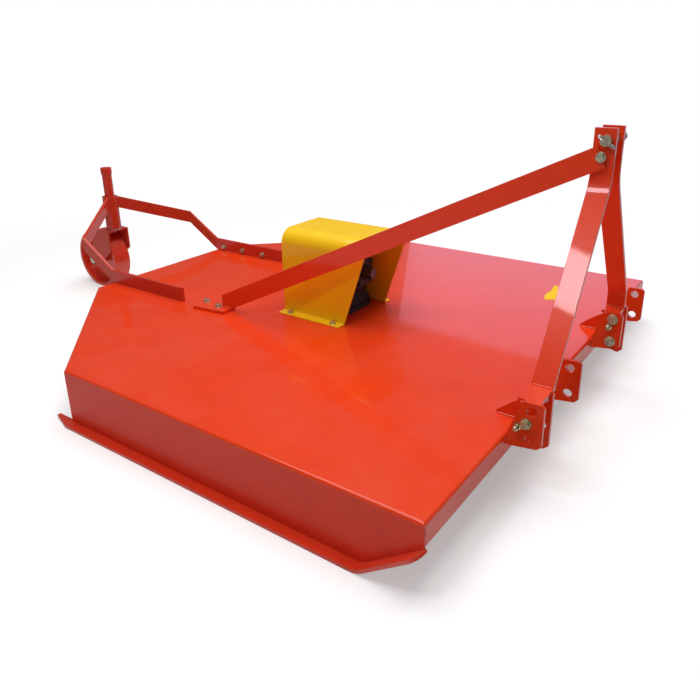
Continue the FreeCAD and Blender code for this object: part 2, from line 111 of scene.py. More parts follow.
surround = bpy.data.worlds.new("studio_surround")
bpy.context.scene.world = surround
tree = empty_tree(surround)
room = add(tree, "ShaderNodeBackground", {"Color": (0.13, 0.13, 0.135, 1.0), "Strength": 1.0})
backdrop = add(tree, "ShaderNodeBackground", {"Color": (1.0, 1.0, 1.0, 1.0), "Strength": 1.0})
rays = add(tree, "ShaderNodeLightPath", {})
ends = add(tree, "ShaderNodeMixShader",
           {0: rays.outputs["Is Camera Ray"], 1: room.outputs[0], 2: backdrop.outputs[0]})
add(tree, "ShaderNodeOutputWorld", {"Surface": ends.outputs[0]})


def soft_lamp(name, place, aim, width, depth, watts, colour):
    """A flat rectangular lamp that faces a point."""
    lamp = bpy.data.lights.new(name, "AREA")
    lamp.shape = "RECTANGLE"
    lamp.size = width
    lamp.size_y = depth
    lamp.energy = watts
    lamp.color = colour
    holder = bpy.data.objects.new(name, lamp)
    facing = (Vector(aim) - Vector(place)).to_track_quat("-Z", "Y").to_matrix().to_4x4()
    holder.matrix_world = Matrix.Translation(place) @ facing
    bpy.context.scene.collection.objects.link(holder)


soft_lamp("lamp_overhead", place=(0.1, 0.2, 3.4), aim=(0.1, 0.2, 0.0), width=3.6, depth=3.6, watts=120.0,
          colour=(1.0, 0.985, 0.96))
soft_lamp("lamp_key", place=(0.53, -1.45, 1.92), aim=(1.08, -0.12, 0.62), width=0.50, depth=0.30, watts=8.0,
          colour=(0.95, 0.93, 1.0))
soft_lamp("panel_left", place=(0.40, 3.4, 0.98), aim=(0.2, 0.0, 0.2), width=3.8, depth=1.6, watts=17.5,
          colour=(0.62, 0.65, 1.0))

# ---- Deck, walls and skids ----------------------------------------------------------------
# Folded 4 mm sheet, 5 mm side walls and 8 mm skids, welded up and sprayed in one thick coat of
# orange-red enamel. The coat has a fine orange peel, drifts a little in shade and thins at edges.


def new_group(name, inputs, outputs):
    """A shader node group with its sockets: (name, socket type, value) in, (name, socket type) out."""
    group = bpy.data.node_groups.new(name, "ShaderNodeTree")
    for label, kind, value in inputs:
        socket = group.interface.new_socket(label, in_out="INPUT", socket_type=kind)
        socket.default_value = value
    for label, kind in outputs:
        group.interface.new_socket(label, in_out="OUTPUT", socket_type=kind)
    return group, group.nodes.new("NodeGroupInput").outputs, group.nodes.new("NodeGroupOutput").inputs


COLOUR = "NodeSocketColor"
NUMBER = "NodeSocketFloat"
VECTOR = "NodeSocketVector"

sprayed_coat, given, result = new_group(
    "sprayed_coat",
    [("Place", VECTOR, (0.0, 0.0, 0.0)), ("Colour", COLOUR, (0.8, 0.1, 0.05, 1.0)),
     ("Shade", COLOUR, (0.6, 0.05, 0.03, 1.0)), ("Drift", NUMBER, 0.5), ("Edge", NUMBER, 0.0015),
     ("Peel", NUMBER, 0.1), ("Thin", COLOUR, (0.4, 0.1, 0.08, 1.0))],
    [("Colour", COLOUR), ("Edges", NUMBER), ("Normal", VECTOR)])
clouds = add(sprayed_coat, "ShaderNodeTexNoise", {"Vector": given["Place"], "Scale": 3.1, "Detail": 4.0,
                                                  "Roughness": 0.55})
passes = add(sprayed_coat, "ShaderNodeTexNoise", {"Vector": given["Place"], "Scale": 14.0, "Detail": 2.0})
both = add(sprayed_coat, "ShaderNodeMath", {0: clouds.outputs["Fac"], 1: passes.outputs["Fac"]},
           operation="MULTIPLY")
spread = add(sprayed_coat, "ShaderNodeMapRange",
             {"Value": both.outputs[0], "From Min": 0.14, "From Max": 0.40})
amount = add(sprayed_coat, "ShaderNodeMath", {0: spread.outputs[0], 1: given["Drift"]}, operation="MULTIPLY")
drifted = add(sprayed_coat, "ShaderNodeMix",
              {"Factor": amount.outputs[0], 6: given["Colour"], 7: given["Shade"]},
              data_type="RGBA")
rounded = add(sprayed_coat, "ShaderNodeBevel", {"Radius": given["Edge"]}, samples=4)
flat = add(sprayed_coat, "ShaderNodeNewGeometry", {})
turned = add(sprayed_coat, "ShaderNodeVectorMath", {0: rounded.outputs[0], 1: flat.outputs["True Normal"]},
             operation="DOT_PRODUCT")
edges = add(sprayed_coat, "ShaderNodeMapRange", {"Value": turned.outputs["Value"], "From Min": 0.99,
                                                 "From Max": 0.80})
grit = add(sprayed_coat, "ShaderNodeTexNoise", {"Vector": given["Place"], "Scale": 160.0, "Detail": 3.0})
worn = add(sprayed_coat, "ShaderNodeMath",
           {0: edges.outputs[0], 1: grit.outputs["Fac"]}, operation="MULTIPLY")
thinned = add(sprayed_coat, "ShaderNodeMix",
              {"Factor": worn.outputs[0], 6: drifted.outputs[2], 7: given["Thin"]},
              data_type="RGBA")
peel = add(sprayed_coat, "ShaderNodeTexNoise", {"Vector": given["Place"], "Scale": 420.0, "Detail": 1.0})
skin = add(sprayed_coat, "ShaderNodeBump", {"Height": peel.outputs["Fac"], "Strength": given["Peel"],
                                            "Distance": 0.0004, "Normal": rounded.outputs[0]})
sprayed_coat.links.new(thinned.outputs[2], result["Colour"])
sprayed_coat.links.new(worn.outputs[0], result["Edges"])
sprayed_coat.links.new(skin.outputs[0], result["Normal"])

settled_dust, given, result = new_group(
    "settled_dust",
    [("Place", VECTOR, (0.0, 0.0, 0.0)), ("Colour", COLOUR, (0.8, 0.1, 0.05, 1.0)), ("Amount", NUMBER, 0.05),
     ("Dust", COLOUR, (0.55, 0.50, 0.44, 1.0)), ("Roughness", NUMBER, 0.3)],
    [("Colour", COLOUR), ("Roughness", NUMBER)])
facing = add(settled_dust, "ShaderNodeSeparateXYZ",
             {"Vector": add(settled_dust, "ShaderNodeNewGeometry", {}).outputs["Normal"]})
lying = add(settled_dust, "ShaderNodeMapRange",
            {"Value": facing.outputs["Z"], "From Min": 0.2, "From Max": 1.0})
patches = add(settled_dust, "ShaderNodeTexNoise", {"Vector": given["Place"], "Scale": 5.0, "Detail": 8.0,
                                                   "Roughness": 0.7})
specks = add(settled_dust, "ShaderNodeMapRange", {"Value": patches.outputs["Fac"], "From Min": 0.42,
                                                  "From Max": 0.72})
laid = add(settled_dust, "ShaderNodeMath", {0: lying.outputs[0], 1: specks.outputs[0]}, operation="MULTIPLY")
film = add(settled_dust, "ShaderNodeMath", {0: laid.outputs[0], 1: given["Amount"]}, operation="MULTIPLY")
dusted = add(settled_dust, "ShaderNodeMix", {"Factor": film.outputs[0], 6: given["Colour"], 7: given["Dust"]},
             data_type="RGBA")
dulled = add(settled_dust, "ShaderNodeMath", {0: film.outputs[0], 1: 1.5, 2: given["Roughness"]},
             operation="MULTIPLY_ADD")
settled_dust.links.new(dusted.outputs[2], result["Colour"])
settled_dust.links.new(dulled.outputs[0], result["Roughness"])


def wire_group(tree, group, sockets):
    """Place a group in a material's tree and give its inputs their values."""
    made = tree.nodes.new("ShaderNodeGroup")
    made.node_tree = group
    for key, value in sockets.items():
        if isinstance(value, bpy.types.NodeSocket):
            tree.links.new(value, made.inputs[key])
        else:
            made.inputs[key].default_value = value
    return made


def enamel(name, colour, shade, thin, rough, dust, gloss):
    """Glossy sprayed paint on steel: drifting colour, thin edges, orange peel and a film of dust."""
    material = bpy.data.materials.new(name)
    tree = empty_tree(material)
    place = add(tree, "ShaderNodeTexCoord", {}).outputs["Object"]
    coat = wire_group(tree, sprayed_coat, {"Place": place, "Colour": colour, "Shade": shade, "Thin": thin,
                                           "Drift": 0.40, "Edge": 0.0010, "Peel": 0.04})
    dirt = wire_group(tree, settled_dust, {"Place": place, "Colour": coat.outputs["Colour"], "Amount": dust,
                                           "Roughness": rough})
    shader = add(tree, "ShaderNodeBsdfPrincipled",
                 {"Base Color": dirt.outputs["Colour"], "Roughness": dirt.outputs["Roughness"],
                  "Coat Weight": gloss, "Coat Roughness": 0.04, "Coat IOR": 1.5, "Specular IOR Level": 0.2,
                  "Normal": coat.outputs["Normal"], "Coat Normal": coat.outputs["Normal"]})
    add(tree, "ShaderNodeOutputMaterial", {"Surface": shader.outputs[0]})
    return material


def dress(material, *names):
    """Give a finish to the CAD nodes named."""
    for name in names:
        nodes[name].data.materials.clear()
        nodes[name].data.materials.append(material)


red_enamel = enamel("red_enamel", colour=(0.88, 0.053, 0.005, 1.0), shade=(0.78, 0.038, 0.005, 1.0),
                    thin=(0.45, 0.03, 0.02, 1.0), rough=0.30, dust=0.04, gloss=0.55)
# The side walls carry the deck's red made darker, painted shade for walls standing out of the overhead light,
# under a duller coat.
shaded_wall_enamel = enamel("shaded_wall_enamel", colour=(0.80, 0.040, 0.009, 1.0), shade=(0.70, 0.030, 0.008, 1.0),
                     thin=(0.45, 0.03, 0.02, 1.0), rough=0.40, dust=0.04, gloss=0.16)
dress(red_enamel, "deck", "deck_rail_right", "deck_rail_left", "gearbox_plate")
dress(shaded_wall_enamel, "side_wall_right", "side_wall_left")

scuffed, given, result = new_group(
    "scuffed",
    [("Place", VECTOR, (0.0, 0.0, 0.0)), ("Colour", COLOUR, (0.8, 0.1, 0.05, 1.0)), ("Edges", NUMBER, 0.0),
     ("Steel", COLOUR, (0.36, 0.34, 0.32, 1.0))],
    [("Colour", COLOUR), ("Metallic", NUMBER), ("Roughness", NUMBER), ("Paint", NUMBER)])
down = add(scuffed, "ShaderNodeSeparateXYZ",
           {"Vector": add(scuffed, "ShaderNodeNewGeometry", {}).outputs["Normal"]})
sole = add(scuffed, "ShaderNodeMapRange", {"Value": down.outputs["Z"], "From Min": -0.6, "From Max": -0.98})
drag = add(scuffed, "ShaderNodeMapping", {"Vector": given["Place"], "Scale": (3.0, 60.0, 60.0)})
streak = add(scuffed, "ShaderNodeTexNoise", {"Vector": drag.outputs[0], "Scale": 4.0, "Detail": 6.0})
bare = add(scuffed, "ShaderNodeMapRange",
           {"Value": streak.outputs["Fac"], "From Min": 0.46, "From Max": 0.60})
rubbed = add(scuffed, "ShaderNodeMath", {0: sole.outputs[0], 1: bare.outputs[0]}, operation="MULTIPLY")
nicked = add(scuffed, "ShaderNodeMath", {0: given["Edges"], 1: 0.7}, operation="MULTIPLY")
gone = add(scuffed, "ShaderNodeMath", {0: rubbed.outputs[0], 1: nicked.outputs[0]}, operation="MAXIMUM")
rubbed_colour = add(scuffed, "ShaderNodeMix",
                    {"Factor": gone.outputs[0], 6: given["Colour"], 7: given["Steel"]},
                    data_type="RGBA")
dull = add(scuffed, "ShaderNodeMath", {0: gone.outputs[0], 1: 0.15, 2: 0.32}, operation="MULTIPLY_ADD")
left_on = add(scuffed, "ShaderNodeMath", {0: 0.85, 1: gone.outputs[0]}, operation="SUBTRACT", use_clamp=True)
scuffed.links.new(rubbed_colour.outputs[2], result["Colour"])
scuffed.links.new(gone.outputs[0], result["Metallic"])
scuffed.links.new(dull.outputs[0], result["Roughness"])
scuffed.links.new(left_on.outputs[0], result["Paint"])

runner_enamel = bpy.data.materials.new("runner_enamel")
tree = empty_tree(runner_enamel)
place = add(tree, "ShaderNodeTexCoord", {}).outputs["Object"]
coat = wire_group(tree, sprayed_coat, {"Place": place, "Colour": (0.84, 0.050, 0.014, 1.0),
                                       "Shade": (0.70, 0.036, 0.012, 1.0), "Thin": (0.40, 0.05, 0.04, 1.0),
                                       "Drift": 0.6, "Edge": 0.0016, "Peel": 0.12})
rub = wire_group(tree, scuffed,
                 {"Place": place, "Colour": coat.outputs["Colour"], "Edges": coat.outputs["Edges"]})
shader = add(tree, "ShaderNodeBsdfPrincipled",
             {"Base Color": rub.outputs["Colour"], "Metallic": rub.outputs["Metallic"],
              "Roughness": rub.outputs["Roughness"], "Coat Weight": rub.outputs["Paint"],
              "Coat Roughness": 0.16, "Specular IOR Level": 0.3, "Normal": coat.outputs["Normal"]})
add(tree, "ShaderNodeOutputMaterial", {"Surface": shader.outputs[0]})
dress(runner_enamel, "skid_right", "skid_left")


def solid_skin(rings):
    """Closed skin through rings (m, n, 3): quads between rings, and a fan of triangles over each end.

    Its faces are turned outward by the sign of the enclosed volume, the sum of a . (b x c) / 6."""
    rows, count, _ = rings.shape
    points = np.vstack([rings.reshape(-1, 3), rings[:1].mean(axis=1), rings[-1:].mean(axis=1)])
    i, j = np.meshgrid(np.arange(rows - 1), np.arange(count), indexing="ij")
    k = (j + 1) % count
    quads = np.stack([i * count + j, i * count + k, (i + 1) * count + k, (i + 1) * count + j], -1)
    quads = quads.reshape(-1, 4)
    a = np.arange(count)
    b = (a + 1) % count
    last = (rows - 1) * count
    near = np.stack([np.full(count, rows * count), b, a], -1)
    far = np.stack([np.full(count, rows * count + 1), last + a, last + b], -1)
    return turned_outward(points, quads, np.vstack([near, far]))


def turned_outward(points, quads, triangles):
    """The same skin with every face reversed if the volume it encloses comes out negative."""
    every = np.vstack([quads[:, [0, 1, 2]], quads[:, [0, 2, 3]], triangles])
    a, b, c = (points[every[:, n]] for n in range(3))
    if np.einsum("ij,ij->i", a, np.cross(b, c)).sum() < 0.0:
        quads = quads[:, ::-1]
        triangles = triangles[:, ::-1]
    return points, quads, triangles


def make_piece(name, skins, material, body):
    """One object from several closed skins, its creases sharp above thirty-five degrees."""
    starts = np.cumsum([0] + [len(skin[0]) for skin in skins])
    points = np.vstack([skin[0] for skin in skins])
    faces = []
    for start, skin in zip(starts, skins):
        faces += (skin[1] + start).tolist() + (skin[2] + start).tolist()
    mesh = bpy.data.meshes.new(name)
    mesh.from_pydata(points, [], faces)
    mesh.shade_smooth()
    mesh.set_sharp_from_angle(angle=math.radians(35))
    mesh.materials.append(material)
    piece = bpy.data.objects.new(name, mesh)
    bpy.context.scene.collection.objects.link(piece)
    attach(piece, body)


ASKEW = (0.31, 0.52, 0.795)  # a direction that no bead or wire runs along


def weld_bead(corners, radius):
    """Weld bead, half sunk in its corner, along a broken line.

    At the distance s its radius is radius * (0.84 + 0.16 |cos(pi s / 4 mm)|), which leaves one
    ripple every four millimetres, and both ends taper off over three millimetres."""
    corners = np.asarray(corners, float)
    along = np.concatenate([[0.0], np.cumsum(np.linalg.norm(np.diff(corners, axis=0), axis=1))])
    s = np.linspace(0.0, along[-1], max(8, int(along[-1] / 0.0013)))
    line = np.stack([np.interp(s, along, corners[:, axis]) for axis in range(3)], 1)
    ahead = np.gradient(line, axis=0)
    ahead /= np.linalg.norm(ahead, axis=1, keepdims=True)
    side = np.cross(ahead, ASKEW)
    side /= np.linalg.norm(side, axis=1, keepdims=True)
    up = np.cross(ahead, side)
    taper = np.sqrt(np.clip(np.minimum(s, along[-1] - s) / 0.003, 0.03, 1.0))
    swell = radius * (0.84 + 0.16 * np.abs(np.cos(np.pi * s / 0.004))) * taper
    angle = np.linspace(0.0, 2.0 * np.pi, 8, endpoint=False)
    around = np.cos(angle)[None, :, None] * side[:, None] + np.sin(angle)[None, :, None] * up[:, None]
    return solid_skin(line[:, None] + swell[:, None, None] * around)


WALL_THICK = 0.005
SKID_THICK = 0.008
FOLD = 0.012                # from the deck's top, or its front edge, to where the fold meets the wall
STITCH = 0.06               # one bead of the broken weld along the skid
STITCH_PITCH = 0.16
wall_face = deck_high.y - WALL_THICK
wall_rear = front_x - 1.085
wall_beads = []
for side in (-1.0, 1.0):
    y = side * wall_face
    wall_beads.append(weld_bead([(wall_rear, y, deck_top - FOLD), (front_x - FOLD, y, deck_top - FOLD)],
                                radius=0.003))
    for start in np.arange(front_x - 1.07, front_x - 0.25, STITCH_PITCH):
        wall_beads.append(weld_bead([(start, y, SKID_THICK), (start + STITCH, y, SKID_THICK)], radius=0.0034))
make_piece("wall_welds", wall_beads, red_enamel, "frame")

# ---- Blank label --------------------------------------------------------------------------
# A thin yellow vinyl sticker on the deck ahead of the gearbox, cut to a rounded shape and left
# blank, its edge a little lifted by its own thickness.
label_outline = np.array([(-0.224, 0.411), (-0.236, 0.445), (-0.239, 0.479), (-0.235, 0.506), (-0.244, 0.562),
                          (-0.234, 0.575), (-0.212, 0.509), (-0.192, 0.432)]) + (front_x, 0.0)
label_centre = label_outline.mean(axis=0)
label_rings = []
for height, shrink in ((0.0, 1.0), (0.0005, 1.0), (0.0007, 0.97), (0.0007, 0.5)):
    ring = label_centre + (label_outline - label_centre) * shrink
    label_rings.append(np.column_stack([ring, np.full(len(ring), deck_top + height)]))
yellow_vinyl = enamel("yellow_vinyl", colour=(1.00, 0.63, 0.004, 1.0), shade=(0.95, 0.57, 0.003, 1.0),
                      thin=(0.7, 0.45, 0.02, 1.0), rough=0.60, dust=0.0, gloss=0.0)
make_piece("blank_label", [solid_skin(np.array(label_rings))], yellow_vinyl, "frame")

# ---- Hitch and brace ----------------------------------------------------------------------
# Flame-cut lugs and foot brackets, bent flat-bar legs and the brace, all in the deck's enamel,
# welded along their edges and joined by zinc-plated bolts. A lynch clip keeps the top link pin.
dress(red_enamel, "outer_lug_right", "inner_lug_right", "inner_lug_left", "outer_lug_left", "leg_right",
      "leg_left", "hitch_bridge_right", "hitch_bridge_left", "brace")

steel_grain, given, result = new_group(
    "steel_grain",
    [("Place", VECTOR, (0.0, 0.0, 0.0)), ("Colour", COLOUR, (0.5, 0.5, 0.5, 1.0)),
     ("Tarnish", COLOUR, (0.3, 0.28, 0.22, 1.0)), ("Stretch", VECTOR, (1.0, 1.0, 1.0)),
     ("Fine", NUMBER, 90.0), ("Rough", NUMBER, 0.3), ("Depth", NUMBER, 0.2)],
    [("Colour", COLOUR), ("Roughness", NUMBER), ("Normal", VECTOR)])
drawn = add(steel_grain, "ShaderNodeVectorMath",
            {0: given["Place"], 1: given["Stretch"]}, operation="MULTIPLY")
grain = add(steel_grain, "ShaderNodeTexNoise",
            {"Vector": drawn.outputs[0], "Scale": given["Fine"], "Detail": 5.0})
bloom = add(steel_grain, "ShaderNodeTexNoise", {"Vector": given["Place"], "Scale": 22.0, "Detail": 6.0,
                                                "Roughness": 0.65})
spots = add(steel_grain, "ShaderNodeMapRange",
            {"Value": bloom.outputs["Fac"], "From Min": 0.40, "From Max": 0.68})
stained = add(steel_grain, "ShaderNodeMix", {"Factor": spots.outputs[0], 6: given["Colour"],
                                             7: given["Tarnish"]}, data_type="RGBA")
lines = add(steel_grain, "ShaderNodeMapRange", {"Value": grain.outputs["Fac"], "From Min": 0.3,
                                                "From Max": 0.7, "To Min": -0.08, "To Max": 0.12})
spread = add(steel_grain, "ShaderNodeMath", {0: given["Rough"], 1: lines.outputs[0]}, operation="ADD",
             use_clamp=True)
grooved = add(steel_grain, "ShaderNodeBump", {"Height": grain.outputs["Fac"], "Strength": given["Depth"],
                                              "Distance": 0.0005})
steel_grain.links.new(stained.outputs[2], result["Colour"])
steel_grain.links.new(spread.outputs[0], result["Roughness"])
steel_grain.links.new(grooved.outputs[0], result["Normal"])


def bare_metal(name, colour, tarnish, stretch, fine, rough, depth):
    """Unpainted or plated steel: a drawn grain, faint tarnish and a roughness that follows the grain."""
    material = bpy.data.materials.new(name)
    tree = empty_tree(material)
    place = add(tree, "ShaderNodeTexCoord", {}).outputs["Object"]
    skin = wire_group(tree, steel_grain, {"Place": place, "Colour": colour, "Tarnish": tarnish,
                                          "Stretch": stretch, "Fine": fine, "Rough": rough, "Depth": depth})
    shader = add(tree, "ShaderNodeBsdfPrincipled",
                 {"Base Color": skin.outputs["Colour"], "Metallic": 1.0,
                  "Roughness": skin.outputs["Roughness"], "Normal": skin.outputs["Normal"]})
    add(tree, "ShaderNodeOutputMaterial", {"Surface": shader.outputs[0]})
    return material


zinc_plate = bare_metal("zinc_plate", colour=(0.66, 0.68, 0.52, 1.0), tarnish=(0.52, 0.56, 0.34, 1.0),
                        stretch=(1.0, 1.0, 1.0), fine=260.0, rough=0.36, depth=0.08)
dress(zinc_plate, "top_link_pin")


def turned_part(profile, place, axis):
    """Turned or hexagonal part standing on a place along an axis, from (height, circle, flat) rows.

    At each height the outline is the smaller of a circle and a hexagon half as wide as flat:
    r(t) = min(circle, flat / cos((t mod 60) - 30)), with t in degrees."""
    height, circle, flat = np.array(profile).T
    t = np.linspace(0.0, 2.0 * np.pi, 48, endpoint=False)
    hexagon = 1.0 / np.cos(np.mod(t, np.pi / 3) - np.pi / 6)
    r = np.minimum(circle[:, None], flat[:, None] * hexagon[None, :])
    rings = np.stack([r * np.cos(t), r * np.sin(t), np.broadcast_to(height[:, None], r.shape)], -1)
    stand = np.array(Vector(axis).normalized().to_track_quat("Z", "Y").to_matrix())
    return solid_skin(rings @ stand.T + np.array(place))


def bolt_head(place, axis, size):
    """Washer and chamfered hexagon head of a bolt of that diameter, the head 1.5 diameters across flats."""
    d = size
    wide = 9.0 * d
    profile = [(0.0, 1.05 * d, wide), (0.17 * d, 1.05 * d, wide), (0.20 * d, 1.02 * d, wide),
               (0.20 * d, 0.84 * d, 0.75 * d), (0.24 * d, 0.87 * d, 0.75 * d), (0.74 * d, 0.87 * d, 0.75 * d),
               (0.84 * d, 0.76 * d, 0.75 * d), (0.85 * d, 0.70 * d, 0.75 * d)]
    return turned_part(profile, place, axis)


def nut_and_thread(place, axis, size, stub):
    """Washer, nut and the threaded end of a bolt, whose thread is cut as rings of pitch p = 0.15 diameter."""
    d = size
    wide = 9.0 * d
    profile = [(0.0, 1.05 * d, wide), (0.17 * d, 1.05 * d, wide), (0.20 * d, 1.02 * d, wide),
               (0.20 * d, 0.78 * d, 0.75 * d), (0.28 * d, 0.87 * d, 0.75 * d), (0.90 * d, 0.87 * d, 0.75 * d),
               (1.00 * d, 0.78 * d, 0.75 * d)]
    steps = np.arange(1.0 * d, 1.0 * d + stub, 0.075 * d)
    cut = np.where(np.arange(len(steps)) % 2 == 0, 0.44 * d, 0.50 * d)
    profile += list(zip(steps, cut, np.full(len(steps), wide)))
    profile.append((1.0 * d + stub, 0.40 * d, wide))
    return turned_part(profile, place, axis)


RIGHTWARD = (0, -1, 0)
LEFTWARD = (0, 1, 0)
UPWARD = (0, 0, 1)
PLATE_THICK = 0.010         # of the lugs, the cheeks and the brace
FOOT_BOLT_Z = 0.196
PIN_ROWS_Z = (0.228, 0.161)
MAST_BOLT_Z = 0.711
MAST_OUTSIDE_Y = -0.087
lug_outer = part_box("outer_lug_right")[0].y
inner_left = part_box("inner_lug_left")[0].y
mast_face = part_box("brace")[1].y
foot_bolt_x = front_x + 0.040
mast_bolt_x = front_x + 0.037
brace_foot_top = deck_top + PLATE_THICK
thin_stud = [(0, 0.0085, 1), (0.002, 0.0085, 1), (0.003, 0.006, 1), (0.014, 0.006, 1), (0.016, 0.004, 1)]
thick_stud = [(0, 0.009, 1), (0.003, 0.009, 1), (0.004, 0.007, 1), (0.012, 0.007, 1), (0.014, 0.005, 1)]
hitch_bolts = [
    bolt_head((foot_bolt_x, lug_outer, FOOT_BOLT_Z), RIGHTWARD, size=0.012),
    nut_and_thread((foot_bolt_x, lug_outer + PLATE_THICK, FOOT_BOLT_Z), LEFTWARD, size=0.012, stub=0.006),
    turned_part(thin_stud, (front_x + 0.022, lug_outer, 0.184), RIGHTWARD),
    *[bolt_head((front_x + 0.050, inner_left, z), RIGHTWARD, size=0.014) for z in PIN_ROWS_Z],
    turned_part(thick_stud, (front_x + 0.042, inner_left, 0.204), RIGHTWARD),
    bolt_head((mast_bolt_x, MAST_OUTSIDE_Y, MAST_BOLT_Z), RIGHTWARD, size=0.012),
    nut_and_thread((mast_bolt_x, mast_face + PLATE_THICK, MAST_BOLT_Z), LEFTWARD, size=0.012, stub=0.005),
    bolt_head((front_x - 1.142, -0.241, brace_foot_top), UPWARD, size=0.011),
    bolt_head((front_x - 1.074, -0.254, brace_foot_top), UPWARD, size=0.011)]
make_piece("hitch_bolts", hitch_bolts, zinc_plate, "frame")


def carried_wire(path, radius):
    """Round wire along a smooth path of points (m, 3), its section held square to the path."""
    path = np.asarray(path, float)
    ahead = np.gradient(path, axis=0)
    ahead /= np.linalg.norm(ahead, axis=1, keepdims=True)
    side = np.cross(ahead, ASKEW)
    side /= np.linalg.norm(side, axis=1, keepdims=True)
    up = np.cross(ahead, side)
    angle = np.linspace(0.0, 2.0 * np.pi, 12, endpoint=False)
    around = np.cos(angle)[None, :, None] * side[:, None] + np.sin(angle)[None, :, None] * up[:, None]
    return solid_skin(path[:, None] + radius * around)


CLIP_HALF = 0.022           # half the clip's span, and how far its spring bows out
CLIP_BOW = 0.018
pin_middle = np.array((front_x + 0.045, -0.0865, 0.7465))
slant = np.array((0.036, 0.0, -0.025)) / math.hypot(0.036, 0.025)
sweep = np.linspace(0.0, np.pi, 40)[:, None]
spring = (pin_middle - CLIP_HALF * np.cos(sweep) * slant
          + CLIP_BOW * np.sin(sweep) * np.array(RIGHTWARD))
clip_parts = [carried_wire(spring, 0.0016),
              turned_part([(0.0, 0.0015, 1), (0.003, 0.0038, 1), (0.034, 0.0038, 1), (0.040, 0.0045, 1),
                           (0.046, 0.0045, 1), (0.047, 0.0035, 1)], pin_middle - CLIP_HALF * slant, slant)]
bright_steel = bare_metal("bright_steel", colour=(0.56, 0.57, 0.60, 1.0), tarnish=(0.42, 0.41, 0.40, 1.0),
                          stretch=(1.0, 1.0, 9.0), fine=150.0, rough=0.30, depth=0.15)
make_piece("lynch_clip", clip_parts, bright_steel, "frame")

LUG_MIDDLES = (-0.432, -0.184, 0.184, 0.432)
CLEVISES = ((-0.432, -0.360), (0.184, 0.256))      # middles of a lug and of the cheek it faces
LEG_FEET = ((-0.3525, -0.3400), (0.2350, 0.2450))
FLANGE_UNDER = 0.240
FLANGE_TOP = 0.248
half_plate = PLATE_THICK / 2
hitch_beads = []
for middle in LUG_MIDDLES:
    for y in (middle - 0.0052, middle + 0.0052):
        hitch_beads.append(weld_bead([(front_x, y, 0.134), (front_x, y, deck_top - 0.009)], radius=0.0036))
for lug, cheek in CLEVISES:
    for y in (cheek - 0.0052, cheek + 0.0052):
        over_edge = [(front_x - 0.055, y, deck_top), (front_x - 0.010, y, deck_top),
                     (front_x, y, deck_top - 0.010), (front_x, y, 0.122)]
        hitch_beads.append(weld_bead(over_edge, radius=0.0038))
leg_x = front_x + 0.015
for lug, cheek in CLEVISES:
    for y in (lug + half_plate, cheek - half_plate):
        hitch_beads.append(weld_bead([(leg_x + 0.004, y, FLANGE_UNDER), (leg_x + 0.046, y, FLANGE_UNDER)],
                                     radius=0.0030))
for foot in LEG_FEET:
    for y in foot:
        hitch_beads.append(weld_bead([(leg_x + 0.001, y, FLANGE_TOP), (leg_x + 0.049, y, FLANGE_TOP)],
                                     radius=0.0032))
brace_foot = np.array((front_x - 1.045, -0.234, brace_foot_top))
brace_head = np.array((front_x + 0.050, -0.082, brace_foot_top))
brace_along = (brace_head - brace_foot) / np.linalg.norm(brace_head - brace_foot)
brace_across = np.array((-brace_along[1], brace_along[0], 0.0))
for side in (-half_plate, half_plate):
    heel = brace_foot + side * brace_across
    hitch_beads.append(weld_bead([heel - 0.021 * brace_along, heel + 0.018 * brace_along], radius=0.0034))
make_piece("hitch_welds", hitch_beads, red_enamel, "frame")

# ---- Tail wheel ---------------------------------------------------------------------------
# Cranked flat-bar arms bolted and welded to the rear of the deck, a tube that the caster's stem
# turns in with a grease nipple, a folded yoke, and a steel wheel on a plated axle bolt.
# The tail arms, socket, stem and yoke carry a darker copy of the deck's red: painted shade for their
# side-facing surfaces.
shaded_arm_enamel = enamel("shaded_arm_enamel", colour=(0.66, 0.042, 0.014, 1.0), shade=(0.56, 0.034, 0.012, 1.0),
                    thin=(0.40, 0.03, 0.02, 1.0), rough=0.34, dust=0.05, gloss=0.40)
dress(shaded_arm_enamel, "tail_arm_right", "tail_arm_left", "spindle_socket", "caster_spindle", "caster_fork")
dress(runner_enamel, "tail_wheel")
dress(zinc_plate, "tail_axle")
stem_low, stem_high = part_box("caster_spindle")
stem_x = (stem_low.x + stem_high.x) / 2
ARM_FACE = 0.257            # inner face of each arm where it lies on the deck, from the middle
ARM_BOLT_Z = 0.174
arm_bolts = []
for side in (-1.0, 1.0):
    for back in (1.565, 1.458, 1.348):
        arm_bolts.append(bolt_head((front_x - back, side * ARM_FACE, ARM_BOLT_Z), (0, -side, 0), size=0.011))
nipple = [(0.0, 0.0050, 0.0045), (0.004, 0.0050, 0.0045), (0.0042, 0.0028, 1), (0.008, 0.0028, 1),
          (0.0090, 0.0034, 1), (0.0105, 0.0034, 1), (0.0115, 0.0024, 1), (0.0120, 0.0012, 1)]
arm_bolts.append(turned_part(nipple, (stem_x, -0.0298, 0.322), RIGHTWARD))
make_piece("tail_arm_bolts", arm_bolts, zinc_plate, "frame")


def turned_band(section, place, sides):
    """Closed band turned about the vertical through a place, from a loop of (radius, height) points."""
    radius, height = np.array(section).T
    t = np.linspace(0.0, 2.0 * np.pi, sides, endpoint=False)
    rings = np.stack([np.outer(np.cos(t), radius), np.outer(np.sin(t), radius),
                      np.broadcast_to(height, (sides, len(height)))], -1) + np.array(place)
    count = len(section)
    i, j = np.meshgrid(np.arange(sides), np.arange(count), indexing="ij")
    k = (j + 1) % count
    n = (i + 1) % sides
    quads = np.stack([i * count + j, i * count + k, n * count + k, n * count + j], -1).reshape(-1, 4)
    return turned_outward(rings.reshape(-1, 3), quads, np.zeros((0, 3), int))


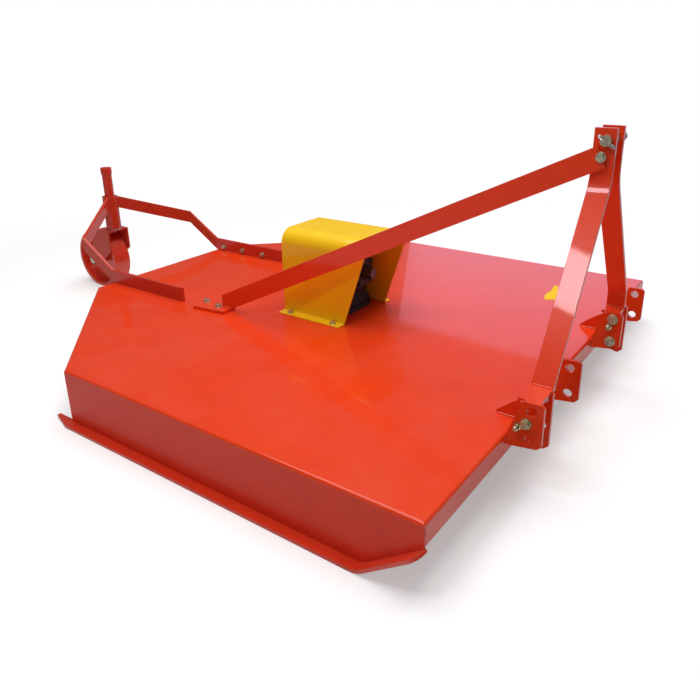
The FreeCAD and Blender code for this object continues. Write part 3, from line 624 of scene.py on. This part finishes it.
collar = [(0.0188, -0.026), (0.0212, -0.026), (0.0216, -0.024), (0.0216, -0.003), (0.0206, -0.0004),
          (0.0188, -0.0004)]
thrust = [(0.0194, 0.0004), (0.0285, 0.0004), (0.0290, 0.0012), (0.0290, 0.0046), (0.0285, 0.0054),
          (0.0194, 0.0054)]
make_piece("stem_collar", [turned_band(collar, (stem_x, 0.0, stem_high.z), 48)], shaded_arm_enamel,
           "caster")
make_piece("thrust_washer", [turned_band(thrust, (stem_x, 0.0, stem_low.z), 48)], bright_steel,
           "caster")
ARM_FORWARD = 0.182         # run of the arms' rear stretch, forward and outward
ARM_OUTWARD = 0.262
SOCKET_RADIUS = 0.0296
tail_beads = []
for side in (-1.0, 1.0):
    toward_deck = np.array((ARM_FORWARD, side * ARM_OUTWARD)) / math.hypot(ARM_FORWARD, ARM_OUTWARD)
    across = np.array((toward_deck[1], -toward_deck[0]))
    for face in (-half_plate, half_plate):
        x, y = np.array((stem_x, 0.0)) + SOCKET_RADIUS * toward_deck + face * across
        tail_beads.append(weld_bead([(x, y, 0.352), (x, y, 0.394)], radius=0.0034))
    y = side * ARM_FACE
    tail_beads.append(weld_bead([(front_x - 1.236, y, deck_top), (front_x - 1.600, y, deck_top)],
                                radius=0.0030))
make_piece("tail_welds", tail_beads, shaded_arm_enamel, "frame")
YOKE_TOP = 0.252
YOKE_HALF = 0.0440
fork_beads = []
for y in (-YOKE_HALF, YOKE_HALF):
    fork_beads.append(weld_bead([(stem_x - 0.048, y, YOKE_TOP), (stem_x + 0.022, y, YOKE_TOP)], radius=0.003))
make_piece("fork_welds", fork_beads, shaded_arm_enamel, "caster")

# ---- Gearbox and its cover ----------------------------------------------------------------
# A sand-cast right-angle gearbox, painted dark, under an inverted U of bent yellow sheet whose
# feet are bolted to the deck. Cap screws, a filler plug, a breather and a rubber lip seal.
yellow_enamel = enamel("yellow_enamel", colour=(1.00, 0.62, 0.004, 1.0), shade=(0.93, 0.53, 0.003, 1.0),
                       thin=(0.60, 0.33, 0.03, 1.0), rough=0.40, dust=0.03, gloss=0.40)
dress(yellow_enamel, "gearbox_shield")

cast_skin, given, result = new_group(
    "cast_skin",
    [("Place", VECTOR, (0.0, 0.0, 0.0)), ("Colour", COLOUR, (0.03, 0.04, 0.06, 1.0)),
     ("Oil", COLOUR, (0.008, 0.009, 0.010, 1.0))],
    [("Colour", COLOUR), ("Roughness", NUMBER), ("Normal", VECTOR)])
sand = add(cast_skin, "ShaderNodeTexNoise", {"Vector": given["Place"], "Scale": 520.0, "Detail": 4.0})
lumps = add(cast_skin, "ShaderNodeTexNoise", {"Vector": given["Place"], "Scale": 60.0, "Detail": 3.0})
rough_cast = add(cast_skin, "ShaderNodeMath", {0: lumps.outputs["Fac"], 1: 0.6, 2: sand.outputs["Fac"]},
                 operation="MULTIPLY_ADD")
relief = add(cast_skin, "ShaderNodeBump",
             {"Height": rough_cast.outputs[0], "Strength": 0.5, "Distance": 0.0008})
seep = add(cast_skin, "ShaderNodeTexNoise", {"Vector": given["Place"], "Scale": 11.0, "Detail": 5.0})
oily = add(cast_skin, "ShaderNodeMapRange",
           {"Value": seep.outputs["Fac"], "From Min": 0.52, "From Max": 0.66})
oiled = add(cast_skin, "ShaderNodeMix", {"Factor": oily.outputs[0], 6: given["Colour"], 7: given["Oil"]},
            data_type="RGBA")
sheen = add(cast_skin, "ShaderNodeMapRange", {"Value": oily.outputs[0], "To Min": 0.55, "To Max": 0.28})
cast_skin.links.new(oiled.outputs[2], result["Colour"])
cast_skin.links.new(sheen.outputs[0], result["Roughness"])
cast_skin.links.new(relief.outputs[0], result["Normal"])

casting_paint = bpy.data.materials.new("casting_paint")
tree = empty_tree(casting_paint)
skin = wire_group(tree, cast_skin, {"Place": add(tree, "ShaderNodeTexCoord", {}).outputs["Object"],
                                    "Colour": (0.035, 0.047, 0.070, 1.0)})
shader = add(tree, "ShaderNodeBsdfPrincipled",
             {"Base Color": skin.outputs["Colour"], "Roughness": skin.outputs["Roughness"],
              "Normal": skin.outputs["Normal"]})
add(tree, "ShaderNodeOutputMaterial", {"Surface": shader.outputs[0]})
dress(casting_paint, "gearbox_housing", "front_bearing_cap", "rear_bearing_cap")
cap_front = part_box("front_bearing_cap")[1].x
cap_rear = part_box("rear_bearing_cap")[0].x
housing_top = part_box("gearbox_housing")[1].z
ROTOR_BACK = 0.775          # the rotor's axis, behind the deck's front edge
SHAFT_HIGH = 0.292
CAP_SCREW_REACH = 0.031
BASE_BOLT_REACH = 0.078
rotor_x = front_x - ROTOR_BACK
cap_screws = []
for y in (-CAP_SCREW_REACH, CAP_SCREW_REACH):
    for z in (SHAFT_HIGH - CAP_SCREW_REACH, SHAFT_HIGH + CAP_SCREW_REACH):
        cap_screws.append(bolt_head((cap_front, y, z), (1, 0, 0), size=0.007))
        cap_screws.append(bolt_head((cap_rear, y, z), (-1, 0, 0), size=0.007))
make_piece("cap_screws", cap_screws, casting_paint, "frame")
gearbox_bolts = []
for x in (rotor_x - BASE_BOLT_REACH, rotor_x + BASE_BOLT_REACH):
    for y in (-BASE_BOLT_REACH, BASE_BOLT_REACH):
        gearbox_bolts.append(bolt_head((x, y, deck_top - 0.012), (0, 0, -1), size=0.014))
plug = [(0.0, 0.015, 1), (0.003, 0.015, 1), (0.0035, 0.013, 0.0115), (0.011, 0.013, 0.0115),
        (0.0125, 0.0112, 0.0115), (0.013, 0.010, 0.0115)]
breather = [(0.0, 0.008, 0.0075), (0.006, 0.008, 0.0075), (0.0062, 0.005, 1), (0.010, 0.005, 1),
            (0.0105, 0.010, 1), (0.016, 0.0105, 1), (0.019, 0.008, 1), (0.0205, 0.004, 1)]
gearbox_bolts.append(turned_part(plug, (rotor_x + 0.024, 0.026, housing_top), UPWARD))
gearbox_bolts.append(turned_part(breather, (rotor_x - 0.030, -0.022, housing_top), UPWARD))
COVER_SHEET = 0.003
for y in (-0.150, 0.110):
    for back in (0.854, 0.686):
        gearbox_bolts.append(bolt_head((front_x - back, y, deck_top + COVER_SHEET), UPWARD, size=0.010))
make_piece("gearbox_bolts", gearbox_bolts, zinc_plate, "frame")

lip_seal = bpy.data.materials.new("lip_seal_rubber")
tree = empty_tree(lip_seal)
wear = add(tree, "ShaderNodeTexNoise", {"Vector": add(tree, "ShaderNodeTexCoord", {}).outputs["Object"],
                                        "Scale": 180.0, "Detail": 4.0})
greyed = add(tree, "ShaderNodeMix", {"Factor": wear.outputs["Fac"], 6: (0.010, 0.010, 0.010, 1.0),
                                     7: (0.030, 0.029, 0.027, 1.0)}, data_type="RGBA")
shader = add(tree, "ShaderNodeBsdfPrincipled", {"Base Color": greyed.outputs[2], "Roughness": 0.62})
add(tree, "ShaderNodeOutputMaterial", {"Surface": shader.outputs[0]})
seal = [(0.0182, 0.0), (0.0245, 0.0), (0.0245, 0.0020), (0.0230, 0.0032), (0.0200, 0.0032), (0.0182, 0.0015)]
seal_points, seal_quads, seal_ends = turned_band(seal, (0.0, 0.0, 0.0), 60)
seal_points = seal_points[:, [2, 0, 1]] + np.array((cap_front, 0.0, SHAFT_HIGH))
make_piece("lip_seal", [(seal_points, seal_quads, seal_ends)], lip_seal, "frame")

# ---- Rotor --------------------------------------------------------------------------------
# The dished pan and its hub in dark mill-scale steel, two swinging blades of tarnished spring
# steel on pivot bolts held by split pins, and the bare splined input shaft, darkened as painted shade.
mill_scale = bare_metal("mill_scale", colour=(0.075, 0.068, 0.064, 1.0), tarnish=(0.11, 0.060, 0.038, 1.0),
                        stretch=(1.0, 1.0, 1.0), fine=70.0, rough=0.52, depth=0.25)
dress(mill_scale, "rotor_hub", "blade_pan")
spring_steel = bare_metal("spring_steel", colour=(0.30, 0.31, 0.33, 1.0), tarnish=(0.22, 0.16, 0.12, 1.0),
                          stretch=(1.0, 8.0, 8.0), fine=60.0, rough=0.38, depth=0.22)
dress(spring_steel, "blade_a", "blade_b", "pivot_bolt_a", "pivot_bolt_b")
# The input shaft's steel is darker and bluer than bright steel: painted shade for the shaft deep under the
# cover.
shaded_shaft_steel = bare_metal("shaded_shaft_steel", colour=(0.20, 0.24, 0.30, 1.0), tarnish=(0.10, 0.11, 0.13, 1.0),
                         stretch=(9.0, 1.0, 1.0), fine=120.0, rough=0.50, depth=0.12)
dress(shaded_shaft_steel, "input_shaft")
BLADE_PIVOT_REACH = 0.335
split_pins = []
for side in (-1.0, 1.0):
    middle = np.array((rotor_x + side * BLADE_PIVOT_REACH, 0.0, 0.1195))
    reach = np.linspace(-0.024, 0.024, 30)[:, None]
    droop = 2400.0 * np.clip(np.abs(reach) - 0.017, 0, None) ** 2
    split_pins.append(carried_wire(middle + reach * np.array(LEFTWARD) - droop * np.array(UPWARD), 0.0019))
make_piece("split_pins", split_pins, bright_steel, "rotor")
